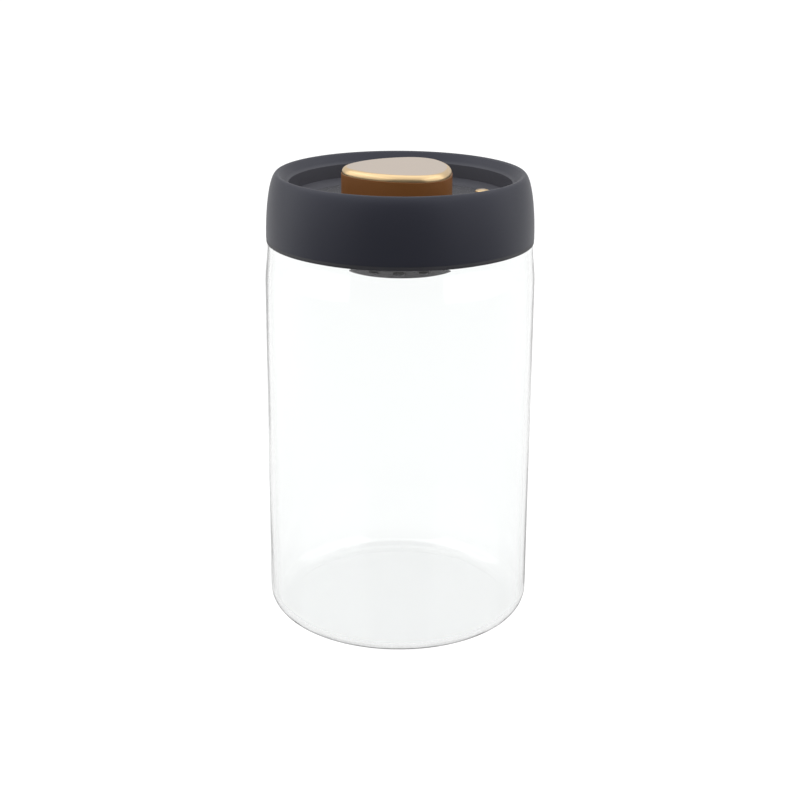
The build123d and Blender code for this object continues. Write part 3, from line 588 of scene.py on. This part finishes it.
for name, node, body, count, sizes in (
    ("lid_screws", "carrier_screws", "lid", 6, (0.0012, 0.0023, 0.001, 0.009, 0.0008, 0.046, 0.1628, 0.0)),
    (
        "pump_screws", "cylinder_screws", "lid", 4,
        (0.0009, 0.0018, 0.0011, 0.003, 0.0006, 0.0201, 0.1558, math.pi / 6),
    ),
    ("cup_screws", "housing_screws", "lid", 3, (0.001, 0.0019, 0.001, 0.0032, 0.0007, 0.012, 0.1509, 0.0)),
    ("cap_screws", "knob_screws", "knob", 3, (0.001, 0.0018, 0.001, 0.0042, 0.0007, 0.014, 0.1848, 0.0)),
):
    holder = bpy.data.objects.new(name, bpy.data.meshes.new(name))
    bpy.context.scene.collection.objects.link(holder)
    maker = holder.modifiers.new("screws", "NODES")
    maker.node_group = screw_tree
    values = dict(zip(screw_sizes, sizes), Count=count)
    for item in screw_tree.interface.items_tree:
        if item.in_out == "INPUT":
            maker[item.identifier] = values[item.name]
    made = bpy.data.meshes.new_from_object(holder.evaluated_get(bpy.context.evaluated_depsgraph_get()))
    holder.modifiers.remove(maker)
    holder.data = made
    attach(holder, body)
    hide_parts(node)


# The knob's skirt is a three-cornered moulding in a flat satin brown. Three screws from below hold
# the plunger's flange to it.
brown, tree, shader = new_finish("Satin brown moulding", Specular_IOR_Level=0.35)
skin = effect(tree, grain_group, Size=0.0004)
dust = effect(tree, fleck_group, Spacing=0.006, Reach=0.03, Share=0.2)
speckled(
    tree, skin["Mottle"], (0.22, 0.083, 0.018), (0.23, 0.087, 0.02),
    dust["Mask"], (0.3, 0.2, 0.12), shader.inputs["Base Color"],
)
between(tree, skin["Height"], 0.42, 0.55, shader.inputs["Roughness"])
raised(tree, skin["Height"], 0.00001, shader, 0.4)
dress(brown, "knob_skirt")


# The knob's cap and the release button are champagne-coloured metal: a pale satin face, blasted
# before it was plated, inside a smooth round edge of a deeper gold.
champagne, tree, shader = new_finish("Champagne metal", Metallic=1.0)
facing = add_node(tree, "ShaderNodeTexCoord")
upward = add_node(tree, "ShaderNodeSeparateXYZ", {"Vector": facing.outputs["Normal"]})
flat = add_node(
    tree, "ShaderNodeMapRange",
    {"Value": upward.outputs["Z"], "From Min": 0.975, "From Max": 0.998},
    interpolation_type="SMOOTHSTEP",
)
blasted = effect(tree, grain_group, Size=0.0003)
tinted(tree, flat.outputs[0], (0.68, 0.5, 0.28), (0.62, 0.53, 0.45), shader.inputs["Base Color"])
between(tree, flat.outputs[0], 0.33, 0.38, shader.inputs["Roughness"])
depth = add_node(tree, "ShaderNodeMath", {0: flat.outputs[0], 1: blasted["Height"]}, operation="MULTIPLY")
raised(tree, depth.outputs[0], 0.00001, shader, 0.4)
dress(champagne, "knob_cap", "release_button")


# The studio: a white sheet in a white room that is darker on the camera's side, with one broad soft
# lamp on each side of the jar and a wide one over it.
def softbox(name, place, aim, size, power):
    """Adds one rectangular lamp that points at a place."""
    lamp = bpy.data.lights.new(name, "AREA")
    lamp.shape = "RECTANGLE"
    lamp.size, lamp.size_y = size
    lamp.energy = power
    holder = bpy.data.objects.new(name, lamp)
    holder.location = place
    away_x, away_y, down = aim[0] - place[0], aim[1] - place[1], place[2] - aim[2]
    holder.rotation_euler = (math.atan2(math.hypot(away_x, away_y), down), 0, math.atan2(-away_x, away_y))
    bpy.context.scene.collection.objects.link(holder)


softbox("left softbox", (-0.8, -0.1, 0.45), (0, 0, 0.15), (1.4, 1.1), 4.2)
softbox("right softbox", (0.75, -0.3, 0.45), (0, 0, 0.15), (1.4, 1.1), 4.6)
softbox("ceiling", (0, -0.2, 1.05), (0, -0.2, 0), (2.0, 2.0), 11)

room = bpy.data.worlds.new("white room")
bpy.context.scene.world = room
room.use_nodes = True
tree = room.node_tree
way = add_node(tree, "ShaderNodeTexCoord")
along = add_node(tree, "ShaderNodeSeparateXYZ", {"Vector": way.outputs["Generated"]})
behind = add_node(
    tree, "ShaderNodeMapRange",
    {"Value": along.outputs["Y"], "From Min": -0.5, "From Max": 0.4, "To Min": 0.22, "To Max": 0.8},
    interpolation_type="SMOOTHSTEP",
)
seen = add_node(tree, "ShaderNodeLightPath")
straight_in = add_node(
    tree, "ShaderNodeMath",
    {0: seen.outputs["Is Camera Ray"], 1: seen.outputs["Is Transmission Ray"]}, operation="MAXIMUM",
)
strength = add_node(
    tree, "ShaderNodeMix",
    {"Factor": straight_in.outputs[0], "A": behind.outputs[0], "B": 1.0}, data_type="FLOAT",
)
tree.links.new(strength.outputs[0], tree.nodes["Background"].inputs["Strength"])
tree.nodes["Background"].inputs["Color"].default_value = (1, 1, 1, 1)

sheet_reach = 4
sheet_level = -0.0003
sheet_mesh = bpy.data.meshes.new("white sheet")
corners = [(-sheet_reach, -sheet_reach), (sheet_reach, -sheet_reach), (sheet_reach, sheet_reach)]
corners += [(-sheet_reach, sheet_reach)]
sheet_mesh.from_pydata([(x, y, sheet_level) for x, y in corners], [], [(0, 1, 2, 3)])
sheet = bpy.data.objects.new("white_sheet", sheet_mesh)
bpy.context.scene.collection.objects.link(sheet)
sheet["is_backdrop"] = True
paper, tree, shader = new_finish("White paper", Base_Color=(0.15, 0.15, 0.15, 1), Roughness=0.9)
seen = add_node(tree, "ShaderNodeLightPath")
place = add_node(tree, "ShaderNodeTexCoord")
along = add_node(tree, "ShaderNodeSeparateXYZ", {"Vector": place.outputs["Object"]})
behind = add_node(
    tree, "ShaderNodeMapRange",
    {"Value": along.outputs["Y"], "From Min": -0.3, "From Max": 0.3, "To Min": 0.05, "To Max": 0.8},
    interpolation_type="SMOOTHSTEP",
)
mirrored = add_node(
    tree, "ShaderNodeMath", {0: behind.outputs[0], 1: seen.outputs["Is Glossy Ray"]}, operation="MULTIPLY"
)
away = add_node(tree, "ShaderNodeVectorMath", {0: place.outputs["Object"]}, operation="LENGTH")
# To rays through the glass, the sheet glows a little less within and just round the jar's foot: a painted
# shadow under the jar.
painted_shadow_under_jar = add_node(
    tree, "ShaderNodeMapRange",
    {"Value": away.outputs["Value"], "From Min": 0.052, "From Max": 0.08, "To Min": 0.8, "To Max": 0.87},
)
through = add_node(
    tree, "ShaderNodeMix",
    {"Factor": seen.outputs["Is Transmission Ray"], "A": mirrored.outputs[0], "B": painted_shadow_under_jar.outputs[0]},
    data_type="FLOAT",
)
shown = add_node(
    tree, "ShaderNodeMath",
    {0: seen.outputs["Is Camera Ray"], 1: 0.95, 2: through.outputs[0]}, operation="MULTIPLY_ADD",
)
shader.inputs["Emission Color"].default_value = (1, 1, 1, 1)
tree.links.new(shown.outputs[0], shader.inputs["Emission Strength"])
sheet_mesh.materials.append(paper)

# The camera stands in front and a little above, turned slightly off the lid's own axis, and leans by
# a third of a degree.
distance, height = 0.6195, 0.3030
pitch, roll, turn = math.radians(17.79), math.radians(0.36), math.radians(-4.8)
lens = bpy.data.cameras.new("camera")
lens.sensor_width = 36
lens.lens = 70.18
lens.shift_x = 0.0008
lens.shift_y = -0.0375
camera = bpy.data.objects.new("camera", lens)
bpy.context.scene.collection.objects.link(camera)
camera.location = (distance * math.sin(turn), -distance * math.cos(turn), height)
level = Euler((math.pi / 2 - pitch, 0, turn)).to_matrix().to_4x4()
camera.rotation_euler = (level @ Matrix.Rotation(roll, 4, "Z")).to_euler()
bpy.context.scene.camera = camera
bpy.context.scene.view_settings.view_transform = "Standard"

corners = {"cad": cad_box, "scene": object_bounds()}
